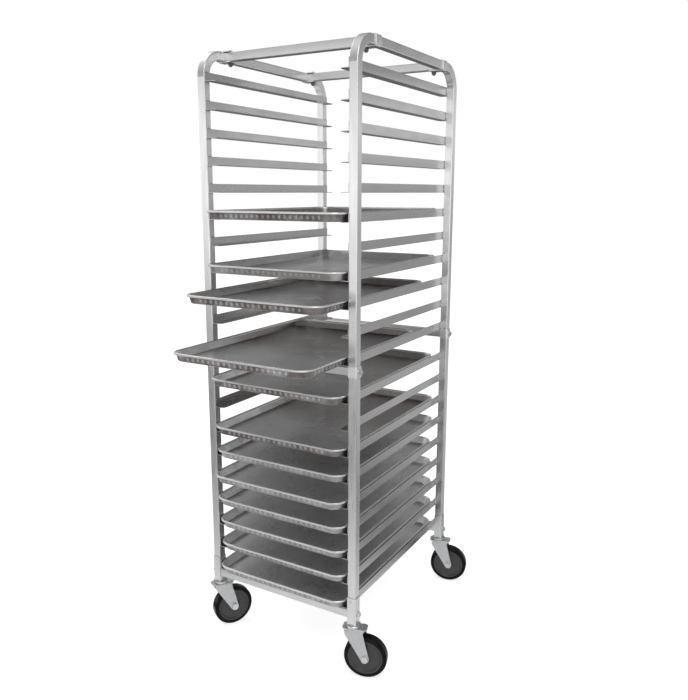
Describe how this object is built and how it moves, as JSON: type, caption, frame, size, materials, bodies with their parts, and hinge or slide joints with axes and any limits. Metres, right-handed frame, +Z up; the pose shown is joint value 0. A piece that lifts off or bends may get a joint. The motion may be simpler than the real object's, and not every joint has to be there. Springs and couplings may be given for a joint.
{
  "type": "sheet pan rack",
  "caption": "Tall square-tube rack on four swivel casters, with angle runners in tiers that hold sliding sheet pans.",
  "frame": {"origin": "on the floor, midway between the four caster stems", "axes": "+X to the right across the front, +Y from the front to the back, +Z up"},
  "size_m": [0.6206, 0.9161, 1.7811],
  "materials": {
    "post_tube": "satin drawn tube",
    "cross_tube": "satin drawn tube",
    "runner": "satin extruded angle",
    "bracket": "satin",
    "bolt": "bright zinc plate",
    "plug": "mill finish",
    "ball": "polished steel",
    "caster_stem": "zinc plated",
    "caster_fork": "zinc plated",
    "axle_bolt": "zinc plated",
    "wheel_core": "moulded",
    "wheel_tyre": "satin moulded",
    "pan_sheet": "used sheet, lightly burnished"
  },
  "bodies": {
    "frame": {"post_front_left": "post_tube", "post_front_right": "post_tube", "post_back_left": "post_tube", "post_back_right": "post_tube", "side_rail_left": "post_tube", "side_rail_right": "post_tube", "top_rail_front": "cross_tube", "top_rail_back": "cross_tube", "mid_rail_front": "cross_tube", "mid_rail_back": "cross_tube", "bottom_rail_front": "cross_tube", "bottom_rail_back": "cross_tube", "runners_left_upper": "runner", "runners_left_lower": "runner", "runners_right_upper": "runner", "runners_right_lower": "runner", "top_brackets": "bracket", "mid_brackets": "bracket", "corner_sleeves": "bracket", "rail_bolts": "bolt", "clamp_bolts": "bolt", "rail_plugs": "plug", "splice_bars": "plug", "stem_plugs": "plug", "swivel_balls": "ball", "stem_front_left": "caster_stem", "stem_front_right": "caster_stem", "stem_back_left": "caster_stem", "stem_back_right": "caster_stem"},
    "swivel_front_left": {"fork_front_left": "caster_fork", "axle_front_left": "axle_bolt"},
    "wheel_front_left": {"core_front_left": "wheel_core", "tyre_front_left": "wheel_tyre"},
    "swivel_front_right": {"fork_front_right": "caster_fork", "axle_front_right": "axle_bolt"},
    "wheel_front_right": {"core_front_right": "wheel_core", "tyre_front_right": "wheel_tyre"},
    "swivel_back_left": {"fork_back_left": "caster_fork", "axle_back_left": "axle_bolt"},
    "wheel_back_left": {"core_back_left": "wheel_core", "tyre_back_left": "wheel_tyre"},
    "swivel_back_right": {"fork_back_right": "caster_fork", "axle_back_right": "axle_bolt"},
    "wheel_back_right": {"core_back_right": "wheel_core", "tyre_back_right": "wheel_tyre"},
    "tray_06": {"pan_06": "pan_sheet"},
    "tray_08": {"pan_08": "pan_sheet"},
    "tray_09": {"pan_09": "pan_sheet"},
    "tray_11": {"pan_11": "pan_sheet"},
    "tray_12": {"pan_12": "pan_sheet"},
    "tray_14": {"pan_14": "pan_sheet"},
    "tray_15": {"pan_15": "pan_sheet"},
    "tray_16": {"pan_16": "pan_sheet"},
    "tray_17": {"pan_17": "pan_sheet"},
    "tray_18": {"pan_18": "pan_sheet"},
    "tray_19": {"pan_19": "pan_sheet"},
    "tray_20": {"pan_20": "pan_sheet"}
  },
  "joints": [
    {"name": "swivel_turn_front_left", "type": "hinge", "parent": "frame", "child": "swivel_front_left", "pos_m": [-0.24447, -0.3175, 0.15], "axis": [0, 0, 1], "continuous": true},
    {"name": "wheel_roll_front_left", "type": "hinge", "parent": "swivel_front_left", "child": "wheel_front_left", "pos_m": [-0.22548, -0.28459, 0.0635], "axis": [-0.866, 0.5, 0], "continuous": true},
    {"name": "swivel_turn_front_right", "type": "hinge", "parent": "frame", "child": "swivel_front_right", "pos_m": [0.24447, -0.3175, 0.15], "axis": [0, 0, 1], "continuous": true},
    {"name": "wheel_roll_front_right", "type": "hinge", "parent": "swivel_front_right", "child": "wheel_front_right", "pos_m": [0.28081, -0.30639, 0.0635], "axis": [-0.2924, 0.9563, 0], "continuous": true},
    {"name": "swivel_turn_back_left", "type": "hinge", "parent": "frame", "child": "swivel_back_left", "pos_m": [-0.24447, 0.3175, 0.15], "axis": [0, 0, 1], "continuous": true},
    {"name": "wheel_roll_back_left", "type": "hinge", "parent": "swivel_back_left", "child": "wheel_back_left", "pos_m": [-0.21335, 0.3393, 0.0635], "axis": [-0.5736, 0.8192, 0], "continuous": true},
    {"name": "swivel_turn_back_right", "type": "hinge", "parent": "frame", "child": "swivel_back_right", "pos_m": [0.24447, 0.3175, 0.15], "axis": [0, 0, 1], "continuous": true},
    {"name": "wheel_roll_back_right", "type": "hinge", "parent": "swivel_back_right", "child": "wheel_back_right", "pos_m": [0.28118, 0.32733, 0.0635], "axis": [-0.2588, 0.9659, 0], "continuous": true},
    {"name": "pan_slide_06", "type": "slide", "parent": "frame", "child": "tray_06", "axis": [0, -1, 0], "range_m": [-0.04, 0.68]},
    {"name": "pan_slide_08", "type": "slide", "parent": "frame", "child": "tray_08", "axis": [0, -1, 0], "range_m": [-0.042, 0.678]},
    {"name": "pan_slide_09", "type": "slide", "parent": "frame", "child": "tray_09", "axis": [0, -1, 0], "range_m": [-0.138, 0.582]},
    {"name": "pan_slide_11", "type": "slide", "parent": "frame", "child": "tray_11", "axis": [0, -1, 0], "range_m": [-0.2, 0.52]},
    {"name": "pan_slide_12", "type": "slide", "parent": "frame", "child": "tray_12", "axis": [0, -1, 0], "range_m": [-0.045, 0.675]},
    {"name": "pan_slide_14", "type": "slide", "parent": "frame", "child": "tray_14", "axis": [0, -1, 0], "range_m": [-0.03, 0.69]},
    {"name": "pan_slide_15", "type": "slide", "parent": "frame", "child": "tray_15", "axis": [0, -1, 0], "range_m": [-0.025, 0.695]},
    {"name": "pan_slide_16", "type": "slide", "parent": "frame", "child": "tray_16", "axis": [0, -1, 0], "range_m": [-0.04, 0.68]},
    {"name": "pan_slide_17", "type": "slide", "parent": "frame", "child": "tray_17", "axis": [0, -1, 0], "range_m": [-0.03, 0.69]},
    {"name": "pan_slide_18", "type": "slide", "parent": "frame", "child": "tray_18", "axis": [0, -1, 0], "range_m": [-0.022, 0.698]},
    {"name": "pan_slide_19", "type": "slide", "parent": "frame", "child": "tray_19", "axis": [0, -1, 0], "range_m": [-0.018, 0.702]},
    {"name": "pan_slide_20", "type": "slide", "parent": "frame", "child": "tray_20", "axis": [0, -1, 0], "range_m": [-0.026, 0.694]}
  ]
}
